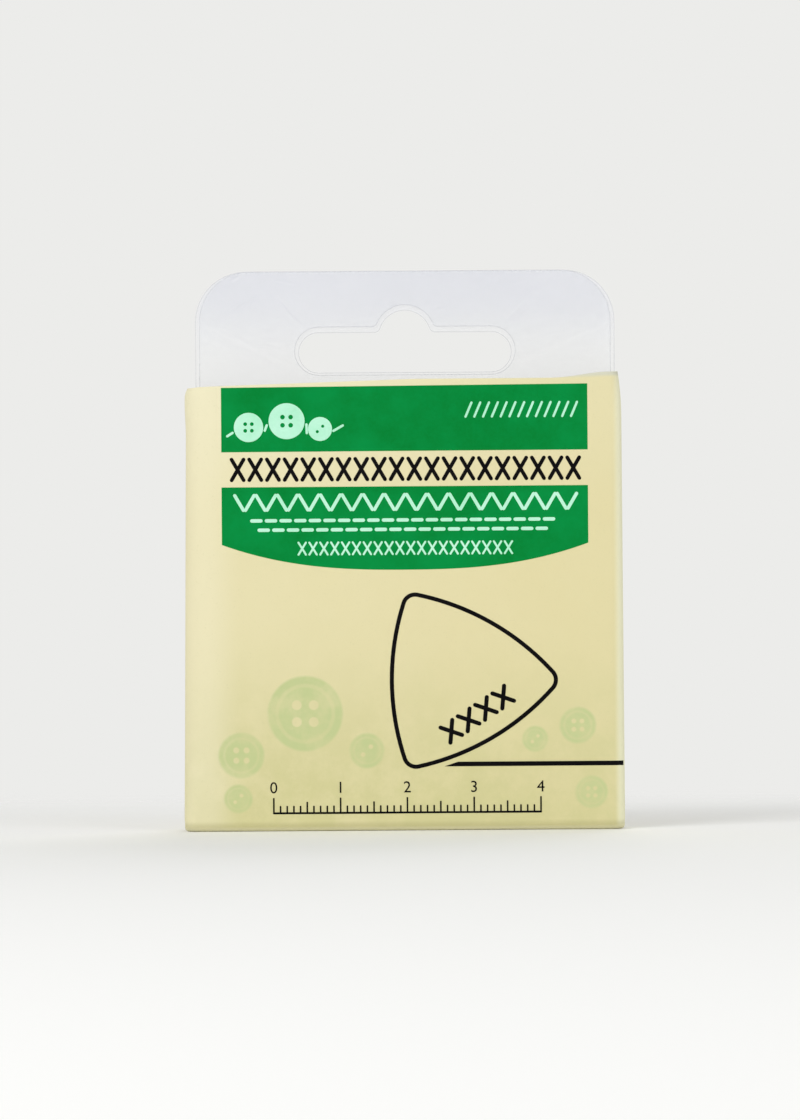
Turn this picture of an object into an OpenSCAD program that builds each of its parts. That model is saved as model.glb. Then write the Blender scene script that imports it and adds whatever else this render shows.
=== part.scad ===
// Tailor's chalk in its hanging packet: a rounded triangle of pressed blue chalk stands point
// down in a clear folded tray with a hang tab, and the tray slides into a folded card sleeve.
// Millimetres. X runs across the packet, Y from its front (-) to its back (+), and Z is up.
// The origin is the middle of the foot. Each size follows from the chalk outwards.

/* [Chalk] */
// Distance between two corners of the chalk, before the corners are rounded
chalk_side = 54; // [40:1:70]
// Radius of each bulging side
side_r = 78; // [70:1:140]
// Radius of each rounded corner
corner_r = 3.8; // [2:0.1:5]
// Thickness in the middle
chalk_t = 6.4; // [5:0.1:9]
// Thickness of the writing edge
edge_t = 1.4; // [0.8:0.1:2.4]
// Width of the bevel that thins the chalk to its writing edge
bevel_w = 8; // [5.5:0.5:10]
// Radius of the shallow round dish in the middle of both faces
dish_r = 7; // [3:0.5:8]
// Depth of the dish
dish_t = 0.35; // [0.1:0.05:0.8]

/* [Tray] */
// Thickness of the clear sheet of the tray
sheet_t = 0.3; // [0.2:0.05:0.6]
// Thickness of the clear leaf folded up behind the tray
leaf_t = 0.3; // [0.2:0.05:0.6]
// How far the leaf stands out past the tray on each side
leaf_margin = 0.6; // [0.2:0.1:1.5]
// Least width of a pad, beside a corner of the chalk
pad_min_w = 3.1; // [2:0.1:8]
// Width of the flat flange round the pads
flange_w = 1.2; // [0.8:0.1:3]
// Height of the chalk's point above the foot of the tray
point_h = 2.2; // [1.6:0.1:8]
// Gap between the two pads under the point of the chalk
pad_split = 9; // [7:0.5:16]
// Height of the wall of each pad above the chalk's widest place
pad_lip = 2; // [0.5:0.5:3.5]
// Radius of the lower corners of the tray
foot_corner_r = 2; // [0.5:0.5:4]

/* [Hang tab] */
// Height of the hang tab above the sleeve, at the left edge
tab_h = 17.6; // [17:0.2:40]
// Radius of the upper corners of the tab
tab_corner_r = 7.6; // [3:0.2:12]
// Length of the hang slot
slot_w = 32; // [28:0.5:36]
// Height of the hang slot
slot_h = 6; // [5:0.2:8]
// Radius of the round bump in the middle of the slot
bump_r = 3.9; // [3:0.1:4.8]
// Height of the centre of the bump above the middle of the slot
bump_rise = 2.4; // [1.5:0.1:3.5]
// Distance from the top of the tab down to the lower edge of the slot
slot_drop = 15.3; // [14:0.1:16]
// How much wider the slot of the front sheet is, all round
slot_grow = 0.6; // [0.2:0.1:1]

/* [Sleeve] */
// Thickness of the card
card_t = 0.4; // [0.3:0.05:0.7]
// Free height inside the sleeve above the chalk, at the left edge
mouth_h = 12.6; // [8:0.2:30]
// How much higher the slanted mouth is at the right edge
mouth_slant = 2; // [0:0.1:4]
// Outer radius of the four upright folds
fold_r = 1.6; // [1.2:0.1:2.4]
// Outer radius of the folds at the foot
foot_fold_r = 1; // [0.8:0.1:1.4]
// Width of the glue flap inside the back panel
glue_flap_w = 12; // [6:1:24]
// Length of each dust flap, from the side of the sleeve
dust_flap_l = 15; // [8:1:26]

/* [Print] */
// Thickness of the ink
ink_t = 0.05; // [0.05:0.01:0.1]
// Distance from the edge of the sleeve to the printed bands
band_inset = 5.9; // [3:0.1:10]
// Height of the upper band
upper_band_h = 9.5; // [5:0.1:16]
// Height of the bare strip between the bands
band_gap = 5.3; // [3:0.1:9]
// Height of the lower band at its ends
lower_band_h = 8.9; // [5:0.1:14]
// How much deeper the lower band is in its middle
band_belly = 3.7; // [1:0.1:6]
// Size of the drawing of the chalk against the real one
drawing_scale = 0.483; // [0.3:0.01:0.5]
// Width of the drawn lines
stroke_w = 0.5; // [0.3:0.05:1]
// Width of the line that the drawn chalk leaves
chalk_line_w = 0.6; // [0.3:0.05:1]
// Distance from the middle of the drawing back to the start of that line
chalk_line_back = 2.3; // [0:0.1:5]
// Length of the pointed end of that line
chalk_line_point = 2; // [0.5:0.5:5]
// Height of the drawn line above the foot
chalk_line_z = 9.9; // [6:0.1:12]
// Place of the middle of the drawing, right of the middle of the sleeve
drawing_x = 8.3; // [0:0.1:9]

/* [Clearances] */
// Gap between the front of the chalk and the front panel
front_gap = 0.35; // [0.2:0.05:1]
// Gap between the back of the chalk and the sheet that it lies on
rest_gap = 0.15; // [0.1:0.05:0.5]
// Gap between the edge of the chalk and the pads
nest_gap = 0.3; // [0.2:0.05:0.8]
// Gap between the leaf and the glue flap behind it
back_gap = 0.3; // [0.2:0.05:1]
// Gap between the edge of the leaf and the side panel, with the tray in the middle
side_gap = 1; // [0.8:0.1:3]
// How far the tray stands to the right of the middle of the sleeve
tray_shift = 0.5; // [0:0.1:0.5]
// Gap between the foot of the tray and the flaps that carry it
seat_gap = 0.2; // [0.1:0.05:0.5]
// Distance that a cut edge of the card stays back from a fold
edge_setback = 0.4; // [0.2:0.1:0.8]

/* [Hidden] */
round_fn = 64;
arc_fn = 360;
far = 400;

card_colour = [0.91, 0.87, 0.70];
inside_colour = [0.93, 0.92, 0.88];
green_ink = [0.02, 0.55, 0.27];
black_ink = [0.08, 0.07, 0.06];
clear_plastic = [0.84, 0.87, 0.91, 0.6];
blue_chalk = [0.42, 0.63, 0.83];

// The chalk's outline: three side arcs and three corner arcs, each corner inside two sides.
corner_turn = 120;
point_down = -90;
side_sag = side_r - sqrt(side_r * side_r - chalk_side * chalk_side / 4);
middle_to_side = chalk_side / (2 * sqrt(3)) + side_sag;
arc_centre_d = side_r - middle_to_side;
corner_reach = side_r - corner_r;
corner_d = (sqrt(4 * corner_reach * corner_reach - 3 * arc_centre_d * arc_centre_d) - arc_centre_d) / 2;
corner_half_angle = atan2(arc_centre_d * sin(60), corner_d + arc_centre_d * cos(60));
chalk_half_w = corner_d * cos(30) + corner_r;
middle_to_point = corner_d + corner_r;
widest_above_middle = corner_d * sin(30);

// Heights, from the foot up.
flaps_top = 3 * card_t;
tray_z = flaps_top + seat_gap;
sheet_z = tray_z + max(sheet_t, leaf_t);
point_z = tray_z + point_h;
chalk_z = point_z + middle_to_point;
chalk_top = chalk_z + middle_to_side;
mouth_left_z = chalk_top + mouth_h;
mouth_right_z = mouth_left_z + mouth_slant;
tab_top = mouth_left_z + tab_h;
slot_z = tab_top - slot_drop + slot_h / 2;
pad_foot_z = sheet_z + flange_w;
pad_top = chalk_z + widest_above_middle + pad_lip;
tab_foot = (chalk_top + mouth_left_z) / 2;

// Widths, from the middle out.
nest_half_w = chalk_half_w + nest_gap;
pad_half_w = nest_half_w + pad_min_w;
tray_half_w = pad_half_w + flange_w;
leaf_half_w = tray_half_w + leaf_margin;
half_w = leaf_half_w + side_gap + card_t;
sleeve_w = 2 * half_w;
flat_half_w = half_w - fold_r;

// Depths, from the front panel back.
sleeve_d = 3 * card_t + front_gap + chalk_t + rest_gap + sheet_t + leaf_t + back_gap;
front_y = -sleeve_d / 2;
front_in_y = front_y + card_t;
chalk_front_y = front_in_y + front_gap;
chalk_y = chalk_front_y + chalk_t / 2;
sheet_y = chalk_front_y + chalk_t + rest_gap;
leaf_y = sheet_y + sheet_t;
back_y = sleeve_d / 2;
back_in_y = back_y - card_t;
pad_d = sheet_y - chalk_front_y;

// The print hangs from the left end of the mouth.
band_half_w = half_w - band_inset;
upper_band_z = mouth_left_z - upper_band_h;
lower_band_top = upper_band_z - band_gap;
lower_band_z = lower_band_top - lower_band_h;
belly_r = (band_half_w * band_half_w + band_belly * band_belly) / (2 * band_belly);
drawing_z = chalk_line_z + chalk_half_w * drawing_scale - stroke_w / 2;

function polar(r, a) = [r * cos(a), r * sin(a)];
function mouth_z(x) = mouth_left_z + mouth_slant * (x + half_w) / sleeve_w;

// Stands a flat shape drawn in X and Z upright, from the depth y forward by t.
module upright(y, t) {
    translate([0, y, 0]) rotate([90, 0, 0]) linear_extrude(t) children();
}

// Moves a piece of the tray, or the chalk, from the middle to its place in the sleeve.
module in_tray() {
    translate([tray_shift, 0, 0]) children();
}

// Lays a profile drawn in Y and Z along X, over the length w.
module along_x(w) {
    translate([-w / 2, 0, 0]) rotate([90, 0, 90]) linear_extrude(w) children();
}

// Lays a profile drawn in X and Z along Y, over the length d.
module along_y(d) {
    translate([0, d / 2, 0]) rotate([90, 0, 0]) linear_extrude(d) children();
}

// Keeps what lies under the slanted mouth of the sleeve.
module under_mouth() {
    intersection() {
        children();
        along_y(2 * sleeve_d)
            polygon([[-sleeve_w, 0], [sleeve_w, 0], [sleeve_w, mouth_z(sleeve_w)],
                     [-sleeve_w, mouth_z(-sleeve_w)]]);
    }
}

// A quarter of a ring of card about the origin, from the angle a to a + 90.
module fold(r, a) {
    intersection() {
        difference() {
            circle(r, $fn = round_fn);
            circle(r - card_t, $fn = round_fn);
        }
        rotate(a) square(r);
    }
}

// The region past a corner of the chalk, between the ends of its two sides.
module corner_wedge(reach) {
    polygon([[0, 0], polar(reach, corner_half_angle), polar(reach, -corner_half_angle)]);
}

// The outline of the chalk with its point down, grown evenly all round.
module chalk_outline(grow) {
    difference() {
        intersection_for (k = [0:2])
            translate(polar(arc_centre_d, point_down + k * corner_turn))
                circle(side_r + grow, $fn = arc_fn);
        for (k = [0:2])
            rotate(point_down + k * corner_turn) translate([corner_d, 0]) difference() {
                corner_wedge(3 * (corner_r + grow));
                circle(corner_r + grow, $fn = round_fn);
            }
    }
}

// Two flat cones, base to base, that thin the chalk from its flat faces to one side's edge.
module bevel_cones() {
    half_t = chalk_t / 2;
    rim_r = side_r + edge_t / (chalk_t - edge_t) * bevel_w;
    flat_r = side_r - bevel_w;
    rotate_extrude($fn = arc_fn)
        polygon([[0, -half_t], [flat_r, -half_t], [rim_r, 0], [flat_r, half_t], [0, half_t]]);
}

// The chalk: its outline stands between three wide double cones, one over each side.
module chalk() {
    color(blue_chalk) in_tray() translate([0, chalk_y, chalk_z]) rotate([90, 0, 0]) difference() {
        intersection() {
            linear_extrude(2 * chalk_t, center = true) chalk_outline(0);
            intersection_for (k = [0:2])
                translate(polar(arc_centre_d, point_down + k * corner_turn)) bevel_cones();
        }
        for (face = [-1, 1]) translate([0, 0, face * chalk_t / 2])
            cylinder(h = 2 * dish_t, r = dish_r, center = true, $fn = round_fn);
    }
}

// The hang slot: a long hole with round ends and a round bump in the middle of its upper edge.
module hang_slot(grow) {
    end_r = slot_h / 2 + grow;
    end_x = slot_w / 2 - slot_h / 2;
    translate([0, slot_z]) {
        square([2 * end_x, 2 * end_r], center = true);
        for (side = [-1, 1]) translate([side * end_x, 0]) circle(end_r, $fn = round_fn);
        translate([0, bump_rise]) circle(bump_r + grow, $fn = round_fn);
    }
}

// A sheet of the folded tray, from its foot to the top of the hang tab.
module sheet_outline(w_half) {
    difference() {
        translate([-w_half, sheet_z]) square([2 * w_half, tab_top - sheet_z]);
        for (side = [-1, 1]) {
            translate([side * w_half, tab_top]) mirror([side > 0 ? 1 : 0, 0]) corner_cut(tab_corner_r, -1);
            translate([side * w_half, sheet_z]) mirror([side > 0 ? 1 : 0, 0]) corner_cut(foot_corner_r, 1);
        }
    }
}

// What a rounded corner takes away: up is 1 at a lower corner and -1 at an upper one.
module corner_cut(r, up) {
    mirror([0, up < 0 ? 1 : 0]) difference() {
        translate([-r, -r]) square(2 * r);
        translate([r, r]) circle(r, $fn = round_fn);
    }
}

// The outline of the left pad, drawn in by inset on every side, open upwards round the chalk.
module pad_outline(inset) {
    difference() {
        translate([-pad_half_w + inset, pad_foot_z + inset])
            square([pad_half_w - pad_split / 2 - 2 * inset, pad_top - pad_foot_z - 2 * inset]);
        translate([0, chalk_z]) chalk_outline(nest_gap + inset);
        translate([-nest_half_w - inset, chalk_z + widest_above_middle])
            square([2 * (nest_half_w + inset), far]);
    }
}

module left_pad_body() {
    color(clear_plastic) difference() {
        upright(sheet_y, pad_d) pad_outline(0);
        upright(sheet_y + sheet_t, pad_d) pad_outline(sheet_t);
    }
}

module left_pad() { in_tray() left_pad_body(); }

module right_pad() { in_tray() mirror([1, 0, 0]) left_pad_body(); }

module nest_sheet() {
    color(clear_plastic) in_tray() upright(leaf_y, sheet_t) difference() {
        intersection() {
            sheet_outline(tray_half_w);
            translate([-far / 2, 0]) square([far, tab_foot]);
        }
        for (side = [0, 1]) mirror([side, 0]) pad_outline(sheet_t);
    }
}

module hang_tab() {
    color(clear_plastic) in_tray() upright(leaf_y, sheet_t) difference() {
        intersection() {
            sheet_outline(tray_half_w);
            translate([-far / 2, tab_foot]) square([far, far]);
        }
        hang_slot(slot_grow);
    }
}

module backing_leaf() {
    color(clear_plastic) in_tray() upright(leaf_y + leaf_t, leaf_t) difference() {
        sheet_outline(leaf_half_w);
        hang_slot(0);
    }
}

module bottom_fold() {
    color(clear_plastic) in_tray() along_x(2 * (tray_half_w - foot_corner_r))
        translate([leaf_y, sheet_z]) intersection() {
            union() {
                intersection() {
                    circle(sheet_t, $fn = round_fn);
                    translate([-far, -far]) square(far);
                }
                intersection() {
                    circle(leaf_t, $fn = round_fn);
                    translate([0, -far]) square(far);
                }
            }
            translate([-far / 2, -far]) square(far);
        }
}

module front_panel() {
    color(card_colour) under_mouth() upright(front_in_y, card_t)
        translate([-flat_half_w, foot_fold_r]) square([2 * flat_half_w, far]);
}

module back_panel() {
    seam_x = -half_w + edge_setback;
    color(card_colour) under_mouth() upright(back_y, card_t)
        translate([seam_x, card_t + foot_fold_r]) square([flat_half_w - seam_x, far]);
}

// A side panel in plan, with its front fold and its back fold, which ends at the depth end_y.
module side_plan(end_y) {
    translate([-half_w, front_y + fold_r]) square([card_t, end_y - front_y - 2 * fold_r]);
    translate([-flat_half_w, front_y + fold_r]) fold(fold_r, 180);
    translate([-flat_half_w, end_y - fold_r]) fold(fold_r, 90);
}

module left_side() {
    color(card_colour) under_mouth() translate([0, 0, 2 * card_t + foot_fold_r])
        linear_extrude(far) side_plan(back_in_y);
}

module right_side() {
    color(card_colour) under_mouth() translate([0, 0, 2 * card_t + foot_fold_r])
        linear_extrude(far) mirror([1, 0]) side_plan(back_y);
}

module glue_flap() {
    foot_z = flaps_top + foot_fold_r;
    head_z = mouth_left_z - edge_setback;
    color(inside_colour) upright(back_in_y, card_t)
        polygon([[-flat_half_w, foot_z], [-flat_half_w + glue_flap_w, foot_z + glue_flap_w / 3],
                 [-flat_half_w + glue_flap_w, head_z - glue_flap_w / 3], [-flat_half_w, head_z]]);
}

// The rounded lower edge of the front, between the front panel and the flap under the foot.
module foot_fold() {
    color(card_colour) along_x(2 * flat_half_w)
        translate([front_y + foot_fold_r, foot_fold_r]) fold(foot_fold_r, 180);
}

module bottom_outer_flap() {
    color(card_colour) along_x(2 * (half_w - edge_setback))
        translate([front_y + foot_fold_r, 0]) square([sleeve_d - foot_fold_r - edge_setback, card_t]);
}

module bottom_inner_flap() {
    color(inside_colour) along_x(2 * flat_half_w) translate([0, card_t]) {
        translate([back_y - foot_fold_r, foot_fold_r]) fold(foot_fold_r, 270);
        translate([front_y + foot_fold_r, 0]) square([sleeve_d - 2 * foot_fold_r, card_t]);
    }
}

module left_dust_flap_body() {
    depth = sleeve_d - 2 * (foot_fold_r + edge_setback);
    color(inside_colour) along_y(depth) translate([0, 2 * card_t]) {
        translate([-half_w + foot_fold_r, foot_fold_r]) fold(foot_fold_r, 180);
        translate([-half_w + foot_fold_r, 0]) square([dust_flap_l - foot_fold_r, card_t]);
    }
}

module left_dust_flap() { left_dust_flap_body(); }

module right_dust_flap() { mirror([1, 0, 0]) left_dust_flap_body(); }

module printed_bands() {
    color(green_ink) upright(front_y, ink_t) {
        translate([-band_half_w, upper_band_z]) square([2 * band_half_w, upper_band_h]);
        intersection() {
            translate([-band_half_w, lower_band_z - band_belly])
                square([2 * band_half_w, lower_band_h + band_belly]);
            translate([0, lower_band_z - band_belly + belly_r]) circle(belly_r, $fn = arc_fn);
        }
    }
}

// The drawn chalk and the line that it leaves, from its lower corner to the edge of the panel.
module printed_outline() {
    grow = stroke_w / 2 / drawing_scale;
    line_z = chalk_line_z - chalk_line_w / 2;
    line_start_x = drawing_x - chalk_line_back;
    color(black_ink) upright(front_y, ink_t) {
        translate([drawing_x, drawing_z]) rotate(-point_down) scale(drawing_scale) difference() {
            chalk_outline(grow);
            chalk_outline(-grow);
        }
        polygon([[line_start_x, line_z], [flat_half_w, line_z], [flat_half_w, line_z + chalk_line_w],
                 [line_start_x + chalk_line_point, line_z + chalk_line_w]]);
    }
}

front_panel();
back_panel();
left_side();
right_side();
glue_flap();
foot_fold();
bottom_outer_flap();
bottom_inner_flap();
left_dust_flap();
right_dust_flap();
printed_bands();
printed_outline();
hang_tab();
nest_sheet();
left_pad();
right_pad();
backing_leaf();
bottom_fold();
chalk();
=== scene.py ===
import bmesh
import bpy
from math import atan2, ceil, cos, degrees, floor, hypot, pi, radians, sin, sqrt, tan
from mathutils import Matrix, Vector, noise

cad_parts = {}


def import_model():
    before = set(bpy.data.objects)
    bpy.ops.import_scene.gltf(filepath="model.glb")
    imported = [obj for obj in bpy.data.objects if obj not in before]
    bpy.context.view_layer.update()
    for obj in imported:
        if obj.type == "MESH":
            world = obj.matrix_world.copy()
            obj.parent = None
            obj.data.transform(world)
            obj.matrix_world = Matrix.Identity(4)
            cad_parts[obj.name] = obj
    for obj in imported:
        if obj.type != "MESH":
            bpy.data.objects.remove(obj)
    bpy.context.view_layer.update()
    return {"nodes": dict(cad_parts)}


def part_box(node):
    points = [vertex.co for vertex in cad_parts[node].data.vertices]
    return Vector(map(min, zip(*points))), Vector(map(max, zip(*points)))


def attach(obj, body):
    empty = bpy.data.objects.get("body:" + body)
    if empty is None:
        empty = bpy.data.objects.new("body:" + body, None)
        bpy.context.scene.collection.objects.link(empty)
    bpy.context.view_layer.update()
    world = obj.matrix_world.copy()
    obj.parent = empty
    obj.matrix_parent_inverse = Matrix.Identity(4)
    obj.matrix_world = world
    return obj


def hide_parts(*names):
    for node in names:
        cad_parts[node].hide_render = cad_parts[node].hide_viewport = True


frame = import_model()

# Lengths are in millimetres, and MM turns them to the metres that Blender works in.
MM = 0.001


def node_box(name):
    """The low and the high corner of a CAD node."""
    low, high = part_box(name)
    return low / MM, high / MM


def arc_centre_d(side, side_r):
    """How far the centre of each side's arc lies from the middle of a triangle with bulging sides."""
    return sqrt(side_r ** 2 - side ** 2 / 4) - side / (2 * sqrt(3))


front_low, front_high = node_box("front_panel")
back_low, back_high = node_box("back_panel")
flap_low, flap_high = node_box("glue_flap")
dust_low, dust_high = node_box("left_dust_flap")
tab_low, tab_high = node_box("hang_tab")
leaf_low, leaf_high = node_box("backing_leaf")
pad_low, pad_high = node_box("left_pad")
chalk_low, chalk_high = node_box("chalk")
nest_low = node_box("nest_sheet")[0]
left_high = node_box("left_side")[1]
right_high = node_box("right_side")[1]
foot_high = node_box("bottom_outer_flap")[1]

# Sizes of the sleeve, taken from the frame
HALF_W = right_high.x
FLAT_X = front_high.x
FRONT_Y = front_low.y
BACK_Y = back_high.y
CARD_T = front_high.y - front_low.y
BACK_IN_Y = BACK_Y - CARD_T
FOLD_R = HALF_W - FLAT_X
FOOT_R = front_low.z
MOUTH_SLOPE = (right_high.z - left_high.z) / (HALF_W + FLAT_X)
MOUTH_RIGHT = right_high.z
SEAM_X = back_low.x

# The sleeve's softness. Each side is narrower at the mouth, and is pressed in just under it,
# and the left one flares below that.
LEFT_TAPER = 0.66
RIGHT_TAPER = 0.18
SIDE_BAND = 9
RIGHT_PRESS = 0.5
RIGHT_PRESS_H = 6.6
LEFT_PRESS = 0.25
LEFT_PRESS_H = 1.1
LEFT_FLARE = 0.2
FLARE_GROWS = (-0.3, 1.5)
FLARE_FADES = (7.5, 2)

# The mouth sags towards the right, springs back up at its right corner, and drops at its left end
MOUTH_SAG = 0.76
SAG_GROWS = (2, 28)
SAG_FADES = (22, 31)
END_DROP = 0.1
DROP_GROWS = (-31, -32.5)

# The front is pressed in round its borders and at its lip, and the back less so
DENT = 0.10
DENT_WAVE = 0.08
DENT_ENDS_LOW = (4, 14)
DENT_ENDS_HIGH = (62, 50)
LIP_DENT = 0.22
LIP_GROWS = (58, 68)
BACK_DENT = 0.06
BACK_WAVE = 0.05
FLAT_BACK = 0.99

# The left front fold is rolled, and tightens towards the foot
ROLL_X = 4.2
ROLL_Y = 2.3
ROLL_GROWS = (1.5, 13)

# The foot: its rounded corners, and its flaps. FRONT_CORNER is the share of each front fold that
# folds down with the side's flap, and a dust flap narrows over its first DUST_TAPER_L.
FOOT_CORNER_R = 0.6
FLAP_SHORT = 0.35
FRONT_CORNER = 0.15
DUST_TAPER = 0.25
DUST_TAPER_L = 15
FLAP_LAYER = {"front": 0, "back": 1, "left": 2, "right": 2}

# Steps of the sleeve's mesh along each stretch of its plan, and up its walls and flaps
GLUE_STEPS = 8
FOLD_STEPS = 8
SIDE_STEPS = 6
ROLL_STEPS = 14
PANEL_STEPS = 56
CORNER_STEPS = 10
WALL_STEPS = 70
FLAP_STEPS = 7
FRONT_START = GLUE_STEPS + FOLD_STEPS + SIDE_STEPS
FRONT_END = FRONT_START + ROLL_STEPS + PANEL_STEPS + CORNER_STEPS

# The print's layers, and how finely they are cut to follow the card
INK_LIFT = 0.03
BAND_LIFT = 0.02
INK_SINK = 0.02
LAYER_STEP = 0.002
CUT_STEP = 1.5
FINE_STEP = 0.25

# Sizes of the tray
TRAY_X = (leaf_low.x + leaf_high.x) / 2
TAB_R = 7.6
TRAY_FOOT_R = 2
SLOT_HALF_W = 16
SLOT_R = 3
SLOT_DROP = 12.3
BUMP_R = 3.9
BUMP_RISE = 2.4
BLEND_R = 0.9
SLOT_GROW = 0.6
SLOT_SHIFT = 0.25
SHEET_RIM = 0.1
NEST_GAP = 0.3
PAD_CORNER_R = 1
PAD_TOE_R = 0.6
PAD_TOE_DROP = 0.4

# Steps of a rounded corner of the tray, for each radian that it turns
TURN_STEPS = 7

# Sizes of the chalk
CHALK_SIDE = 54
SIDE_R = 78
CORNER_R = 3.8
EDGE_T = 1.4
BEVEL_W = 8
DISH_R = 7
DISH_T = 0.35
ARC_CENTRE_D = arc_centre_d(CHALK_SIDE, SIDE_R)
CHALK_X = (chalk_low.x + chalk_high.x) / 2
CHALK_Y = (chalk_low.y + chalk_high.y) / 2
CHALK_Z = chalk_high.z - SIDE_R + ARC_CENTRE_D

# The photograph, for the camera
PHOTO_H = 1120
PX_PER_MM = 6.68
ROLL = radians(0.4)
CAMERA_D = 900
SENSOR = 24
VIEW_X = -0.46
VIEW_Z = 40.5

# The stage
FLOOR_R = 700
FLOOR_Z = -0.02
WORLD_LIGHT = 0.46


def smooth(low, high, value):
    """Runs from 0 at low to 1 at high, without a corner."""
    t = min(max((value - low) / (high - low), 0), 1)
    return t * t * (3 - 2 * t)


def wave(x, z, size, seed):
    """Even noise from about -1 to 1, with lumps of about the given size."""
    return noise.noise(Vector((x / size, z / size, seed)))


def polar(x, z, r, turn):
    """The place that lies at a distance from another, at a turn in degrees."""
    angle = radians(turn)
    return (x + r * cos(angle), z + r * sin(angle))


def mouth_z(x):
    """Height of the slanted mouth at a place across it."""
    line = MOUTH_RIGHT + MOUTH_SLOPE * (x - HALF_W)
    start, full = SAG_GROWS
    sag = MOUTH_SAG * min(max((x - start) / (full - start), 0), 1) * (1 - smooth(*SAG_FADES, x))
    return line - sag - END_DROP * smooth(*DROP_GROWS, x)


def pressed_in(x, z):
    """How far a place moves to the right, where its side is pressed in under the mouth or flares."""
    down = mouth_z(x) - z
    beside = smooth(HALF_W - SIDE_BAND, HALF_W, abs(x))
    if x > 0:
        return -RIGHT_PRESS * max(0, 1 - down / RIGHT_PRESS_H) ** 2 * beside
    press = LEFT_PRESS * max(0, 1 - down / LEFT_PRESS_H) ** 2
    flare = LEFT_FLARE * smooth(*FLARE_GROWS, down) * smooth(*FLARE_FADES, down)
    return (press - flare) * beside


def round_foot(point):
    """The point with the foot's corners rounded, by making its lowest part narrower."""
    high = FOOT_CORNER_R - min(max(point.z, 0), FOOT_CORNER_R)
    side = HALF_W - FOOT_CORNER_R + sqrt(FOOT_CORNER_R ** 2 - high ** 2)
    return Vector((point.x * side / HALF_W, point.y, point.z))


def add_object(name, data):
    """A new object in the scene."""
    made = bpy.data.objects.new(name, data)
    bpy.context.scene.collection.objects.link(made)
    return made


def evaluated_mesh(piece):
    """A new mesh of a text, or of a piece with its modifiers applied."""
    bpy.context.view_layer.update()
    graph = bpy.context.evaluated_depsgraph_get()
    return bpy.data.meshes.new_from_object(piece.evaluated_get(graph), depsgraph=graph)


def shade_smooth(mesh, sharp):
    """Smooth faces, with sharp edges where they meet at more than an angle in degrees."""
    mesh.polygons.foreach_set("use_smooth", [True] * len(mesh.polygons))
    mesh.set_sharp_from_angle(angle=radians(sharp))


def mesh_object(name, points, faces, materials, indices=None, sharp=40):
    """A smooth piece from points in millimetres, with a material index for each face if given."""
    mesh = bpy.data.meshes.new(name)
    mesh.from_pydata([Vector(p) * MM for p in points], [], faces)
    for item in materials:
        mesh.materials.append(item)
    if indices:
        mesh.polygons.foreach_set("material_index", indices)
    shade_smooth(mesh, sharp)
    mesh.update()
    return add_object(name, mesh)


def thicken(piece, thickness):
    """Gives a skin its thickness, inwards; its inside and its cut edge take the next two materials."""
    solid = piece.modifiers.new("thickness", "SOLIDIFY")
    solid.thickness = thickness * MM
    solid.offset = -1
    solid.use_even_offset = True
    solid.use_rim = True
    solid.material_offset = 1
    solid.material_offset_rim = 2
    old = piece.data
    piece.data = evaluated_mesh(piece)
    piece.modifiers.clear()
    bpy.data.meshes.remove(old)
    shade_smooth(piece.data, 38)


# Materials

def srgb(r, g, b):
    """A colour as the photograph writes it, turned to Blender's linear one."""
    def linear(c):
        c /= 255
        return c / 12.92 if c <= 0.04045 else ((c + 0.055) / 1.055) ** 2.4
    return (linear(r), linear(g), linear(b), 1)


def put(tree, socket, value):
    """Sets a socket to a number or a colour, or links it to another socket."""
    if isinstance(value, bpy.types.NodeSocket):
        tree.links.new(value, socket)
    else:
        socket.default_value = value


def put_named(tree, node, inputs):
    """Sets or links a node's inputs by name, with _ for a space."""
    for key, value in inputs.items():
        put(tree, node.inputs[key.replace("_", " ")], value)


def add_node(tree, kind, settings=None, values=(), **inputs):
    """A new node with its settings, and with its inputs set or linked in order or by name."""
    node = tree.nodes.new("ShaderNode" + kind)
    for key, value in (settings or {}).items():
        setattr(node, key, value)
    for socket, value in zip(node.inputs, values):
        put(tree, socket, value)
    put_named(tree, node, inputs)
    return node


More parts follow.
